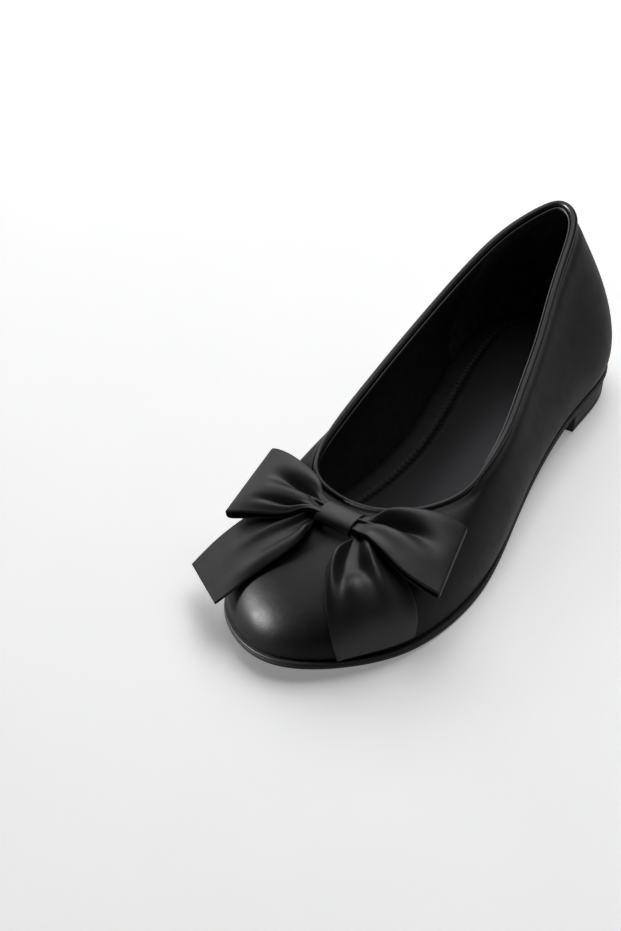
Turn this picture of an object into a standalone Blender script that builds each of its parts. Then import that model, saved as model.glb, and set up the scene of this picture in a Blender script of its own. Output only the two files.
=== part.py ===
"""A left ballet flat: outsole, low heel block, lasted upper, insole, bound topline and a ribbon bow.

Lengths are metres. The toe points to -Y, the outer (lateral) side is +X and +Z is up.
The origin is the middle of the heel block's ground face. The forefoot stands on the same ground plane.
Stations are shares of LENGTH, measured forward from the back of the outsole.
"""
import math

import bmesh
import bpy
import numpy as np
from mathutils import Vector
from mathutils.bvhtree import BVHTree

# Outsole and heel
LENGTH = 0.243
BALL_WIDTH = 0.083
HEEL_WIDTH = 0.058
OUTSOLE_THICKNESS = 0.0030
TOE_SPRING = 0.0060
HEEL_HEIGHT = 0.0095
HEEL_LENGTH = 0.055
HEEL_TAPER = 0.0012
HEEL_INSET = 0.0008
SOLE_EDGE_FORE = 0.0012
SOLE_EDGE_HEEL = 0.0003
SOLE_EDGE_ROUND = 0.20
HEEL_FOOT_ROUND = 0.0006
HEEL_BREAST_HOLLOW = 0.0020

# Upper: heights above the ground of the topline at the back of the heel and at the throat
COLLAR_HEIGHT = 0.0710
THROAT_HEIGHT = 0.0325
WALL = 0.0016

# Topline binding
BEAD_WIDTH = 0.0034
BEAD_HEIGHT = 0.0028

# Insole
INSOLE_HEEL_THICKNESS = 0.0050
INSOLE_TOE_THICKNESS = 0.0035
INSOLE_RIM = 0.0090
INSOLE_RIM_HEEL = 0.0055
INSOLE_PAD_RISE = 0.0007

# Bow: ribbon thickness, the knot's width along the bow and depth across it, the loops' reach from the
# knot's middle and their width, the tails' length, and where the bow sits on the vamp
RIBBON = 0.0009
KNOT_WIDTH = 0.0160
KNOT_DEPTH = 0.0118
LOOP_REACH_LATERAL = 0.0500
LOOP_REACH_MEDIAL = 0.0440
LOOP_WIDTH = 0.0340
LOOP_RISE = 0.0080
TAIL_LENGTH = 0.0520
TAIL_DROP = 0.0240
BOW_AHEAD = 0.0115
BOW_SIDE = -0.0012
BOW_TURN = math.radians(-8)
KNOT_SQUARENESS = 4
TAIL_IN_KNOT = 0.14

# Clearances between pieces that meet
GAP = 0.0003
LAID_GAP = 0.0005
INSOLE_CLEARANCE = 0.0006

# Stations of the sole's profile, as shares of LENGTH
ARCH_START = 0.235
BALL_START = 0.60
SPRING_START = 0.70
WIDTH_BLEND_START = 0.25
INSOLE_RIM_FULL_AT = 0.16

# The bow's leather
BOW_COLOUR = (0.017, 0.017, 0.019)
BOW_ROUGHNESS = 0.40

# Mesh density
AROUND = 96
UP_WALL = 12
BEAD_SIDES = 8
HEEL_SIDE_POINTS = 20
HEEL_BREAST_POINTS = 9
RIBBON_ACROSS = 11
LOOP_ALONG = 44
TAIL_ALONG = 30
KNOT_ROUND = 20
KNOT_ALONG = 5

# The upper's sections, heel back to toe tip. foot_at and top_at are stations of the sole edge and of
# the topline; foot_out, foot_in, top_out and top_in are shares of the width at that station, out on
# the lateral side and in on the medial side; climb runs from the throat's height (0) to the collar's (1).
# swell and reach push the wall outward near the foot and near the top, as shares of the width, and
# rise and drop are shares of the wall's height.
SECTION_COLUMNS = ("foot_at", "foot_out", "foot_in", "top_at", "top_out", "top_in", "climb",
                   "swell", "rise", "reach", "drop")
SECTIONS = (
    (0.000, 0.020, 0.020, 0.024, -0.005, -0.005, 1.000, 0.180, 0.30, 0.145, 0.38),
    (0.030, 0.284, -0.267, 0.045, 0.130, -0.138, 0.966, 0.160, 0.30, 0.145, 0.38),
    (0.090, 0.485, -0.468, 0.100, 0.212, -0.264, 0.885, 0.110, 0.30, 0.140, 0.40),
    (0.200, 0.532, -0.500, 0.190, 0.290, -0.372, 0.740, 0.080, 0.30, 0.110, 0.42),
    (0.320, 0.515, -0.425, 0.290, 0.374, -0.463, 0.507, 0.080, 0.32, 0.080, 0.42),
    (0.440, 0.468, -0.350, 0.390, 0.398, -0.462, 0.332, 0.075, 0.34, 0.070, 0.40),
    (0.560, 0.470, -0.385, 0.480, 0.396, -0.440, 0.190, 0.060, 0.38, 0.080, 0.36),
    (0.670, 0.510, -0.475, 0.560, 0.380, -0.422, 0.113, 0.040, 0.45, 0.120, 0.26),
    (0.770, 0.494, -0.515, 0.630, 0.349, -0.408, 0.050, 0.028, 0.58, 0.190, 0.14),
    (0.865, 0.416, -0.505, 0.685, 0.235, -0.337, 0.020, 0.020, 0.72, 0.270, 0.05),
    (0.940, 0.259, -0.380, 0.712, 0.108, -0.211, 0.010, 0.020, 0.80, 0.330, 0.02),
    (1.000, -0.060, -0.060, 0.722, -0.042, -0.042, 0.000, 0.020, 0.84, 0.360, 0.00),
)

# Sections of each loop from the knot out to its fold and back underneath. out is a share of the loop's
# reach, ahead a share of LOOP_WIDTH toward the toe and up a share of LOOP_RISE, for the ribbon's rear
# and front edges; crown lifts the middle and crease sets the depth of its two valleys, shares of
# LOOP_RISE. The first and last rows lie in the knot, where up is taken from the stack of ribbons.
RIBBON_COLUMNS = ("rear_out", "rear_ahead", "rear_up", "front_out", "front_ahead", "front_up", "crown", "crease")
LOOP_LATERAL = (
    (0.17, -0.12, None, 0.17, 0.11, None, 0.00, 0.00),
    (0.32, -0.28, 0.92, 0.34, 0.24, 0.72, 0.10, 0.22),
    (0.54, -0.47, 0.98, 0.55, 0.30, 0.55, 0.22, 0.22),
    (0.72, -0.60, 0.72, 0.77, 0.29, 0.10, 0.16, 0.10),
    (0.82, -0.65, 0.40, 0.97, 0.22, -0.50, 0.04, 0.02),
    (0.84, -0.65, 0.24, 1.00, 0.21, -0.67, 0.00, 0.00),
    (0.82, -0.64, 0.08, 0.97, 0.22, -0.84, 0.00, 0.00),
    (0.70, -0.58, 0.24, 0.78, 0.28, -0.28, 0.00, 0.00),
    (0.54, -0.44, 0.34, 0.56, 0.29, 0.14, 0.00, 0.00),
    (0.34, -0.26, 0.38, 0.34, 0.21, 0.36, 0.00, 0.00),
    (0.17, -0.12, None, 0.17, 0.11, None, 0.00, 0.00),
)
LOOP_MEDIAL = (
    (0.19, -0.12, None, 0.19, 0.11, None, 0.00, 0.00),
    (0.36, -0.27, 0.86, 0.36, 0.26, 0.74, 0.10, 0.22),
    (0.59, -0.40, 0.90, 0.59, 0.37, 0.52, 0.22, 0.22),
    (0.83, -0.49, 0.78, 0.80, 0.43, 0.14, 0.16, 0.10),
    (1.00, -0.53, 0.56, 0.93, 0.46, -0.20, 0.04, 0.02),
    (1.04, -0.53, 0.40, 0.96, 0.46, -0.36, 0.00, 0.00),
    (1.00, -0.52, 0.24, 0.93, 0.46, -0.54, 0.00, 0.00),
    (0.80, -0.47, 0.30, 0.80, 0.42, -0.28, 0.00, 0.00),
    (0.59, -0.38, 0.34, 0.59, 0.35, 0.04, 0.00, 0.00),
    (0.37, -0.26, 0.38, 0.37, 0.25, 0.32, 0.00, 0.00),
    (0.19, -0.12, None, 0.19, 0.11, None, 0.00, 0.00),
)

# Sections of each tail from the knot to its cut end. out and ahead are shares of TAIL_LENGTH, down is a
# share of TAIL_DROP below the vamp's plane, and pleat is the height of the two ridges beside the
# middle trough, a share of LOOP_RISE. A tail lies on the vamp wherever it would sink into it.
TAIL_COLUMNS = ("rear_out", "rear_ahead", "rear_down", "front_out", "front_ahead", "front_down", "pleat")
TAIL_LATERAL = (
    (0.160, -0.065, 0.00, 0.160, 0.070, 0.00, 0.04),
    (0.260, -0.060, 0.02, 0.185, 0.175, 0.02, 0.12),
    (0.385, -0.020, 0.10, 0.200, 0.330, 0.10, 0.26),
    (0.510, 0.070, 0.24, 0.240, 0.490, 0.24, 0.14),
    (0.650, 0.150, 0.45, 0.350, 0.660, 0.45, 0.03),
    (0.780, 0.215, 0.70, 0.470, 0.775, 0.68, 0.00),
    (0.842, 0.279, 0.97, 0.567, 0.821, 0.92, 0.00),
)
TAIL_MEDIAL = (
    (0.160, -0.065, 0.00, 0.160, 0.070, 0.00, 0.04),
    (0.280, -0.050, 0.02, 0.120, 0.200, 0.02, 0.12),
    (0.430, 0.030, 0.10, 0.095, 0.370, 0.10, 0.26),
    (0.590, 0.130, 0.24, 0.150, 0.560, 0.20, 0.14),
    (0.730, 0.270, 0.42, 0.250, 0.730, 0.36, 0.03),
    (0.820, 0.440, 0.58, 0.325, 0.860, 0.44, 0.00),
    (0.883, 0.642, 0.76, 0.396, 0.988, 0.51, 0.00),
)


def even_samples(count):
    return np.arange(count) / count


def smooth_step(value):
    value = np.clip(value, 0.0, 1.0)
    return value * value * (3.0 - 2.0 * value)


def along(station):
    """The Y of a station."""
    return HEEL_LENGTH / 2 - np.asarray(station) * LENGTH


def station_of(y):
    return (HEEL_LENGTH / 2 - np.asarray(y)) / LENGTH


def width_at(station):
    """The width that the section table's side shares follow."""
    blend = (np.asarray(station) - WIDTH_BLEND_START) / (BALL_START - WIDTH_BLEND_START)
    return HEEL_WIDTH + (BALL_WIDTH - HEEL_WIDTH) * smooth_step(blend)


def sole_underside(station):
    """Height of the outsole's lower face: heel seat, arch, flat forefoot and toe spring."""
    station = np.asarray(station)
    arch = 1.0 - smooth_step((station - ARCH_START) / (BALL_START - ARCH_START))
    spring = np.clip((station - SPRING_START) / (1.0 - SPRING_START), 0.0, None) ** 2
    return (HEEL_HEIGHT + GAP) * arch + TOE_SPRING * spring


def foot_height(station):
    """Height of the upper's lower edge, just clear of the outsole's top."""
    return sole_underside(station) + OUTSOLE_THICKNESS + GAP


def periodic_curve(knots, points, samples):
    """Smooth closed cubic curve through points at knots; the last knot closes the loop."""
    count = len(points)
    steps = np.diff(knots)
    system = np.zeros((count, count))
    right = np.zeros((count, points.shape[1]))
    for i in range(count):
        before, after = steps[i - 1], steps[i]
        system[i, i - 1] += before
        system[i, i] += 2 * (before + after)
        system[i, (i + 1) % count] += after
        right[i] = 6 * ((points[(i + 1) % count] - points[i]) / after - (points[i] - points[i - 1]) / before)
    bend = np.linalg.solve(system, right)
    samples = np.asarray(samples) % knots[-1]
    cell = np.clip(np.searchsorted(knots, samples, side="right") - 1, 0, count - 1)
    step = steps[cell][:, None]
    a = ((knots[cell + 1] - samples)[:, None]) / step
    b = 1.0 - a
    following = (cell + 1) % count
    return (a * points[cell] + b * points[following]
            + ((a ** 3 - a) * bend[cell] + (b ** 3 - b) * bend[following]) * step ** 2 / 6)


def columns(table, names):
    """A table's columns by name, as arrays; None becomes not-a-number."""
    return {name: np.array([row[i] for row in table], dtype=float) for i, name in enumerate(names)}


def loop_points():
    """The section columns as one closed loop, lateral side forward and then medial side back, with the
    sole's edge and the topline in plan at each."""
    half = columns(SECTIONS, SECTION_COLUMNS)
    column = {name: np.concatenate([values, values[-2:0:-1]]) for name, values in half.items()}
    foot_x = np.concatenate([half["foot_out"], half["foot_in"][-2:0:-1]])
    top_x = np.concatenate([half["top_out"], half["top_in"][-2:0:-1]])
    edge = np.column_stack([foot_x * width_at(column["foot_at"]), along(column["foot_at"])])
    top = np.column_stack([top_x * width_at(column["top_at"]), along(column["top_at"])])
    return column, edge, top


def outward(curve):
    """Unit normals that point out of a closed plan curve running lateral side forward first."""
    run = np.roll(curve, -1, axis=0) - np.roll(curve, 1, axis=0)
    normal = np.stack([-run[:, 1], run[:, 0]], axis=1)
    return normal / np.linalg.norm(normal, axis=1, keepdims=True)


def edge_knots(edge):
    steps = np.linalg.norm(np.roll(edge, -1, axis=0) - edge, axis=1)
    return np.concatenate([[0.0], np.cumsum(steps)]) / steps.sum()


def sole_margin(station):
    """How far the outsole stands out past the upper: a little at the forefoot, hardly at the heel."""
    blend = (np.asarray(station) - BALL_START) / (SPRING_START - BALL_START)
    return SOLE_EDGE_HEEL + (SOLE_EDGE_FORE - SOLE_EDGE_HEEL) * smooth_step(blend)


def sole_edge(samples, inset=0.0):
    """Plan points of the outsole's edge, moved inward by inset."""
    edge = loop_points()[1]
    curve = periodic_curve(edge_knots(edge), edge, samples)
    return curve - outward(curve) * inset


def wall_curves(samples):
    """The four control curves of the upper's outer face: foot, lower handle, upper handle and topline."""
    column, edge, top = loop_points()
    knots = edge_knots(edge)
    side = outward(edge)
    foot_plan = edge - side * sole_margin(column["foot_at"])[:, None]
    foot = np.column_stack([foot_plan, foot_height(column["foot_at"])])
    top_height = THROAT_HEIGHT + (COLLAR_HEIGHT - THROAT_HEIGHT) * column["climb"]
    brink = np.column_stack([top, top_height])
    width = width_at(column["foot_at"])
    height = brink[:, 2] - foot[:, 2]
    low = foot + np.column_stack([side * (column["swell"] * width)[:, None], column["rise"] * height])
    fan = foot_plan - top + side * (HEEL_WIDTH / 3)
    fan /= np.linalg.norm(fan, axis=1, keepdims=True)
    high = brink + np.column_stack([fan * (column["reach"] * width)[:, None], -column["drop"] * height])
    return [periodic_curve(knots, control, samples) for control in (foot, low, high, brink)]


def wall_outer(samples, levels):
    """Grid of points on the upper's outer face: levels from the foot (0) to the topline (1)."""
    foot, low, high, brink = wall_curves(samples)
    foot[:, 2] = foot_height(station_of(foot[:, 1]))
    grid = []
    for level in levels:
        rest = 1.0 - level
        grid.append(rest ** 3 * foot + 3 * rest ** 2 * level * low + 3 * rest * level ** 2 * high
                    + level ** 3 * brink)
    return np.array(grid)


def grid_normals(grid):
    """Unit normals of a grid closed along its second axis, pointing outward."""
    around = np.roll(grid, -1, axis=1) - np.roll(grid, 1, axis=1)
    up = np.gradient(grid, axis=0)
    normal = np.cross(up, around)
    normal /= np.linalg.norm(normal, axis=2, keepdims=True)
    return normal


def outer_face():
    """The upper's outer face at the part's own mesh density."""
    return wall_outer(even_samples(AROUND), np.linspace(0.0, 1.0, UP_WALL + 1))


def wall_inner(outer):
    """The outer face moved in by the wall's thickness, its lower edge kept level with the sole."""
    inner = outer - grid_normals(outer) * WALL
    inner[0, :, 2] = foot_height(station_of(inner[0, :, 1]))
    return inner


def add_material(body, name, colour, roughness, metallic=0.0):
    material = bpy.data.materials.new(name)
    material.use_nodes = True
    shader = material.node_tree.nodes["Principled BSDF"]
    shader.inputs["Base Color"].default_value = (*colour, 1.0)
    shader.inputs["Roughness"].default_value = roughness
    shader.inputs["Metallic"].default_value = metallic
    body.data.materials.append(material)


def add_body(name, points, faces, smooth_angle=50):
    """A named object from points and faces, its faces turned outward, smooth but for its sharp edges."""
    mesh = bpy.data.meshes.new(name)
    mesh.from_pydata([tuple(point) for point in points], [], faces)
    work = bmesh.new()
    work.from_mesh(mesh)
    bmesh.ops.recalc_face_normals(work, faces=work.faces)
    work.to_mesh(mesh)
    work.free()
    body = bpy.data.objects.new(name, mesh)
    bpy.context.collection.objects.link(body)
    mesh.shade_smooth()
    mesh.set_sharp_from_angle(angle=math.radians(smooth_angle))
    return body


def ring_faces(first, second, count):
    """Quads between two closed rings that start at the given point numbers."""
    return [(first + i, first + (i + 1) % count, second + (i + 1) % count, second + i) for i in range(count)]


def rib_cap(start, count):
    """Faces that close a ring by ribs from its lateral side to its medial side."""
    faces = []
    for i in range(count // 2):
        corners = (start + i, start + i + 1, start + count - i - 1, start + (count - i) % count)
        faces.append(tuple(dict.fromkeys(corners)))
    return faces


def stacked_rings(rings):
    """Points and faces of a solid of rings given from the bottom up, closed by ribs at both ends."""
    count = len(rings[0])
    faces = rib_cap(0, count)
    for level in range(len(rings) - 1):
        faces += ring_faces(level * count, (level + 1) * count, count)
    faces += rib_cap((len(rings) - 1) * count, count)
    return np.concatenate(rings), faces


def closed_grid(grid):
    """Points and faces of a grid that closes along both of its axes."""
    rows, count = grid.shape[:2]
    faces = []
    for row in range(rows):
        faces += ring_faces(row * count, (row + 1) % rows * count, count)
    return grid.reshape(-1, 3), faces


def build_outsole():
    samples = even_samples(AROUND)
    edge = sole_edge(samples)
    tuck = sole_edge(samples, inset=OUTSOLE_THICKNESS * SOLE_EDGE_ROUND)
    floor = sole_underside(station_of(edge[:, 1]))
    rings = [np.column_stack([tuck, sole_underside(station_of(tuck[:, 1]))]),
             np.column_stack([edge, floor + OUTSOLE_THICKNESS * SOLE_EDGE_ROUND]),
             np.column_stack([edge, floor + OUTSOLE_THICKNESS])]
    body = add_body("outsole", *stacked_rings(rings), smooth_angle=35)
    add_material(body, "sole_rubber", (0.012, 0.012, 0.013), 0.62)
    return body


def heel_ring(inset):
    """Plan of the heel block: the sole's edge round the back, closed by a hollow breast line."""
    breast_y = along(HEEL_LENGTH / LENGTH)
    fine = sole_edge(even_samples(AROUND * 8), inset)
    half = len(fine) // 2
    lateral, medial = fine[:half], np.roll(fine[::-1], 1, axis=0)[:half]
    sides = []
    for side in (lateral, medial):
        behind = side[side[:, 1] > breast_y]
        corner = np.array([np.interp(breast_y, side[::-1, 1], side[::-1, 0]), breast_y])
        path = np.vstack([behind, corner])
        reach = np.concatenate([[0.0], np.cumsum(np.linalg.norm(np.diff(path, axis=0), axis=1))])
        wanted = np.linspace(0.0, reach[-1], HEEL_SIDE_POINTS)
        sides.append(np.column_stack([np.interp(wanted, reach, path[:, 0]), np.interp(wanted, reach, path[:, 1])]))
    share = np.linspace(0.0, 1.0, HEEL_BREAST_POINTS)[1:-1]
    breast = sides[0][-1] + (sides[1][-1] - sides[0][-1]) * share[:, None]
    breast[:, 1] += HEEL_BREAST_HOLLOW * 4 * share * (1 - share)
    return np.vstack([sides[0], breast, sides[1][:0:-1]])


def build_heel():
    levels = [(HEEL_INSET + HEEL_TAPER + HEEL_FOOT_ROUND, 0.0),
              (HEEL_INSET + HEEL_TAPER, HEEL_FOOT_ROUND),
              (HEEL_INSET, HEEL_HEIGHT)]
    rings = []
    for inset, height in levels:
        plan = heel_ring(inset)
        rings.append(np.column_stack([plan, np.full(len(plan), height)]))
    body = add_body("heel", *stacked_rings(rings), smooth_angle=35)
    add_material(body, "heel_block", (0.014, 0.013, 0.013), 0.55)
    return body


def build_upper():
    outer = outer_face()
    grid = np.concatenate([outer, wall_inner(outer)[::-1]])
    body = add_body("upper", *closed_grid(grid), smooth_angle=60)
    add_material(body, "leather_upper", (0.016, 0.016, 0.018), 0.42)
    return body


def build_binding():
    """The rolled bead: an oval swept round the topline, seated on the upper's top edge."""
    outer = outer_face()
    across = grid_normals(outer)[-1]
    rise = outer[-1] - outer[-2]
    rise -= across * (rise * across).sum(axis=1, keepdims=True)
    rise /= np.linalg.norm(rise, axis=1, keepdims=True)
    centre = outer[-1] - across * WALL / 2 + rise * (BEAD_HEIGHT / 2 + GAP)
    turns = even_samples(BEAD_SIDES) * 2 * math.pi
    rings = [centre + across * (math.cos(turn) * BEAD_WIDTH / 2) + rise * (math.sin(turn) * BEAD_HEIGHT / 2)
             for turn in turns]
    body = add_body("topline_binding", *closed_grid(np.array(rings)), smooth_angle=60)
    add_material(body, "leather_binding", (0.014, 0.014, 0.016), 0.38)
    return body


def insole_ring(inset, height):
    """A ring of the insole: inset from the upper's inner face, height above the outsole."""
    samples = even_samples(AROUND)
    edge = sole_edge(samples)
    margin = sole_margin(station_of(edge[:, 1])) + WALL + INSOLE_CLEARANCE + inset
    plan = edge - outward(edge) * margin[:, None]
    return np.column_stack([plan, foot_height(station_of(plan[:, 1])) + height])


def build_insole():
    """A flat rim round a padded middle that stands a little proud of it."""
    station = station_of(sole_edge(even_samples(AROUND))[:, 1])
    rim = INSOLE_RIM_HEEL + (INSOLE_RIM - INSOLE_RIM_HEEL) * smooth_step(station / INSOLE_RIM_FULL_AT)
    thinning = smooth_step((station - ARCH_START) / (BALL_START - ARCH_START))
    thick = INSOLE_HEEL_THICKNESS + (INSOLE_TOE_THICKNESS - INSOLE_HEEL_THICKNESS) * thinning
    levels = [(0.0, 0.0), (0.0, thick), (rim, thick), (rim + INSOLE_PAD_RISE, thick + INSOLE_PAD_RISE)]
    rings = [insole_ring(inset, height) for inset, height in levels]
    body = add_body("insole", *stacked_rings(rings), smooth_angle=35)
    add_material(body, "insole_lining", (0.018, 0.018, 0.021), 0.6)
    return body


def bow_frame():
    """Where the bow sits on the vamp: its middle, and unit vectors lateral, toward the toe and up."""
    outer = outer_face()
    throat = outer[-1][outer[-1, :, 1].argmin()]
    place = Vector((BOW_SIDE + throat[0], throat[1] - BOW_AHEAD, COLLAR_HEIGHT))
    seat, normal, face, distance = vamp_tree(outer).ray_cast(place, Vector((0.0, 0.0, -1.0)))
    up = np.array(normal)
    lateral = np.array([math.cos(BOW_TURN), math.sin(BOW_TURN), 0.0])
    lateral -= up * (lateral @ up)
    lateral /= np.linalg.norm(lateral)
    return np.array(seat), lateral, np.cross(lateral, up), up


def vamp_tree(outer):
    """The upper's outer face, for finding where something laid on it touches."""
    rows, count = outer.shape[:2]
    faces = []
    for row in range(rows - 1):
        faces += [face[::-1] for face in ring_faces(row * count, (row + 1) * count, count)]
    return BVHTree.FromPolygons([Vector(point) for point in outer.reshape(-1, 3)], faces)


def layer(number):
    """Height of the middle of a ribbon in the knot's stack, from 0, the knot's own underside."""
    return GAP + RIBBON / 2 + number * (RIBBON + GAP)


def open_curve(points, count):
    """Evenly numbered samples of a smooth curve through points."""
    place = np.linspace(0.0, len(points) - 1, count)
    cell = np.minimum(place.astype(int), len(points) - 2)
    part = (place - cell).reshape(-1, *([1] * (points.ndim - 1)))
    slope = np.gradient(points, axis=0)
    near, far = points[cell], points[cell + 1]
    return (near * (1 + 2 * part) * (1 - part) ** 2 + slope[cell] * part * (1 - part) ** 2
            + far * part ** 2 * (3 - 2 * part) - slope[cell + 1] * part ** 2 * (1 - part))


def sheet(name, middle, normals, closed_along):
    """A ribbon's solid from its middle surface, closed along its length or with cut ends."""
    rows, across = middle.shape[:2]
    above = middle + normals * RIBBON / 2
    below = middle - normals * RIBBON / 2
    rings = np.concatenate([above, below[:, ::-1]], axis=1)
    count = 2 * across
    faces = []
    for row in range(rows if closed_along else rows - 1):
        faces += ring_faces(row * count, (row + 1) % rows * count, count)
    if not closed_along:
        for row in (0, rows - 1):
            base = row * count
            faces += [(base + i, base + i + 1, base + count - 2 - i, base + count - 1 - i)
                      for i in range(across - 1)]
    return add_body(name, rings.reshape(-1, 3), faces, smooth_angle=60)


def surface_normals(middle, closed_along):
    if closed_along:
        run = np.roll(middle, -1, axis=0) - np.roll(middle, 1, axis=0)
    else:
        run = np.gradient(middle, axis=0)
    side = np.gradient(middle, axis=1)
    normal = np.cross(run, side)
    return normal / np.linalg.norm(normal, axis=2, keepdims=True)


def ribbon_surface(rear, front, lift, frame):
    """Middle surface between a ribbon's two edges, given in the bow's frame, lifted by a profile."""
    seat, lateral, ahead, up = frame
    share = np.linspace(0.0, 1.0, RIBBON_ACROSS)[None, :, None]
    flat = rear[:, None] * (1 - share) + front[:, None] * share
    flat[:, :, 2] += lift
    return seat + flat[:, :, :1] * lateral + flat[:, :, 1:2] * ahead + flat[:, :, 2:] * up


def laid_on(tree, middle, clearance):
    """The surface with each point that lies too near the vamp, or inside it, moved out to clearance."""
    out = middle.copy()
    for index in np.ndindex(middle.shape[:2]):
        point = Vector(middle[index])
        seat, normal, face, distance = tree.find_nearest(point)
        height = (point - seat).dot(normal)
        wanted = clearance[index]
        if height < wanted:
            out[index] = seat + normal * wanted
    return out


def loop_side(table, reach, side):
    """Edges, crown and crease along one loop, from the knot over the top to the fold and back below."""
    column = columns(table, RIBBON_COLUMNS)
    edges = []
    for edge in ("rear", "front"):
        up = column[edge + "_up"] * LOOP_RISE
        up[0] = layer(3)
        up[-1] = layer(2)
        edges.append(np.column_stack([side * column[edge + "_out"] * reach,
                                      column[edge + "_ahead"] * LOOP_WIDTH, up]))
    return edges[0], edges[1], column["crown"] * LOOP_RISE, column["crease"] * LOOP_RISE


def above_tails(middle, tails, up):
    """The loops' surface lifted wherever it would touch the tails that pass under it."""
    before = tails[:, :1] * 2 - tails[:, 1:2]
    after = tails[:, -1:] * 2 - tails[:, -2:-1]
    wide = np.concatenate([before, tails, after], axis=1)
    rows, across = wide.shape[:2]
    faces = [(row * across + i, row * across + i + 1, (row + 1) * across + i + 1, (row + 1) * across + i)
             for row in range(rows - 1) for i in range(across - 1)]
    tree = BVHTree.FromPolygons([Vector(point) for point in wide.reshape(-1, 3)], faces)
    out = middle.copy()
    for index in np.ndindex(middle.shape[:2]):
        start = Vector(middle[index] + up * LOOP_WIDTH)
        seat, normal, face, distance = tree.ray_cast(start, Vector(-up))
        if seat is None:
            continue
        slope = abs(normal.dot(Vector(up)))
        lacking = (RIBBON + LAID_GAP) / slope - (middle[index] - np.array(seat)) @ up
        out[index] += up * max(lacking, 0.0)
    return out


def build_loops(frame, tails):
    """Both loops as one band: over the top to each fold, and back underneath through the knot."""
    lateral = loop_side(LOOP_LATERAL, LOOP_REACH_LATERAL, 1)
    medial = loop_side(LOOP_MEDIAL, LOOP_REACH_MEDIAL, -1)
    rear, front, crown, crease = [np.concatenate([a, b[::-1]]) for a, b in zip(lateral, medial)]
    knots = np.arange(len(rear) + 1) / len(rear)
    samples = even_samples(LOOP_ALONG)
    rear = periodic_curve(knots, rear, samples)
    front = periodic_curve(knots, front, samples)
    profile = periodic_curve(knots, np.column_stack([crown, crease]), samples)
    share = np.linspace(0.0, 1.0, RIBBON_ACROSS)
    lift = profile[:, :1] * 4 * share * (1 - share) - profile[:, 1:] * np.sin(2 * math.pi * share) ** 2
    middle = above_tails(ribbon_surface(rear, front, lift, frame), tails, frame[3])
    body = sheet("bow_loops", middle, surface_normals(middle, True), closed_along=True)
    add_material(body, "leather_bow_loops", BOW_COLOUR, BOW_ROUGHNESS)
    return body


def tail_side(table, side):
    column = columns(table, TAIL_COLUMNS)
    edges = [np.column_stack([side * column[edge + "_out"] * TAIL_LENGTH, column[edge + "_ahead"] * TAIL_LENGTH,
                              -column[edge + "_down"] * TAIL_DROP]) for edge in ("rear", "front")]
    return edges[0], edges[1], column["pleat"] * LOOP_RISE


def tails_surface(frame, tree):
    """Both tails as one ribbon: from the lateral end up through the knot and down to the medial end."""
    lateral = tail_side(TAIL_LATERAL, 1)
    medial = tail_side(TAIL_MEDIAL, -1)
    rear, front, pleat = [np.concatenate([a[::-1], b]) for a, b in zip(lateral, medial)]
    rear, front, pleat = [open_curve(path, TAIL_ALONG) for path in (rear, front, pleat)]
    run = np.abs(np.linspace(-1.0, 1.0, TAIL_ALONG))
    share = np.linspace(0.0, 1.0, RIBBON_ACROSS)
    ridges = np.sin(2 * math.pi * share) ** 2
    middle = ribbon_surface(rear, front, np.zeros((TAIL_ALONG, RIBBON_ACROSS)), frame)
    leaving = 1 - smooth_step((run - TAIL_IN_KNOT) / TAIL_IN_KNOT)
    level = RIBBON / 2 + LAID_GAP + (layer(1) - layer(0)) * leaving
    return laid_on(tree, middle, level[:, None] + pleat[:, None] * ridges)


def build_tails(middle):
    body = sheet("bow_tails", middle, surface_normals(middle, False), closed_along=False)
    add_material(body, "leather_bow_tails", BOW_COLOUR, BOW_ROUGHNESS)
    return body


def build_knot(frame):
    """A band wrapped right round the gathered ribbons, a rounded oblong from the bow's end."""
    seat, lateral, ahead, up = frame
    low, high = layer(0), layer(4)
    turns = even_samples(KNOT_ROUND) * 2 * math.pi
    round_off = 2 / KNOT_SQUARENESS
    depth = np.sign(np.cos(turns)) * np.abs(np.cos(turns)) ** round_off * (KNOT_DEPTH - RIBBON) / 2
    height = (low + high) / 2 + np.sign(np.sin(turns)) * np.abs(np.sin(turns)) ** round_off * (high - low) / 2
    sides = np.linspace(-KNOT_WIDTH / 2, KNOT_WIDTH / 2, KNOT_ALONG)
    middle = (seat + sides[None, :, None] * lateral + depth[:, None, None] * ahead
              + height[:, None, None] * up)
    body = sheet("bow_knot", middle, surface_normals(middle, True), closed_along=True)
    add_material(body, "leather_bow_knot", BOW_COLOUR, BOW_ROUGHNESS)
    return body


def main():
    for body in list(bpy.data.objects):
        bpy.data.objects.remove(body, do_unlink=True)
    build_outsole()
    build_heel()
    build_upper()
    build_binding()
    build_insole()
    outer = outer_face()
    frame = bow_frame()
    tails = tails_surface(frame, vamp_tree(outer))
    build_loops(frame, tails)
    build_tails(tails)
    build_knot(frame)


main()
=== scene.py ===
"""The looks of a left ballet flat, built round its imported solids.

Lengths are metres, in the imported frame: the toe points to -Y, the outer (lateral) side is +X, +Z is up
and the origin is the middle of the heel block's ground face. The shoe's forms come from the same named
sizes and section tables as its solids, at a finer mesh, with folds, seams and grain added.
"""

import math

import bmesh
import bpy
import numpy as np
from mathutils import Matrix, Vector
from mathutils.bvhtree import BVHTree


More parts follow.
